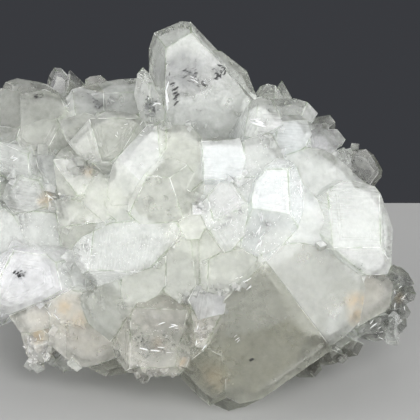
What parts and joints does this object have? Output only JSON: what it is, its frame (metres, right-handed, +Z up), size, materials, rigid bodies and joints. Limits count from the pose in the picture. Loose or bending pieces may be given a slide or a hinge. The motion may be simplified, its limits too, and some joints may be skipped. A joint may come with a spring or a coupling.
{
  "type": "apophyllite crystal cluster",
  "caption": "Natural mineral cluster of pale, flat-faced apophyllite crystals radiating from one root mass, with one tall crown crystal and a flat resting facet underneath.",
  "frame": {"origin": "on the flat resting facet underneath, near its middle", "axes": "+Z up, -Y toward the show side with the largest crystals, +X to the right as seen from the show side, along the longest extent"},
  "size_m": [0.114, 0.0794, 0.0827],
  "materials": {
    "apophyllite": "gloss"
  },
  "bodies": {
    "root": {"apophyllite_cluster": "apophyllite"}
  },
  "joints": []
}
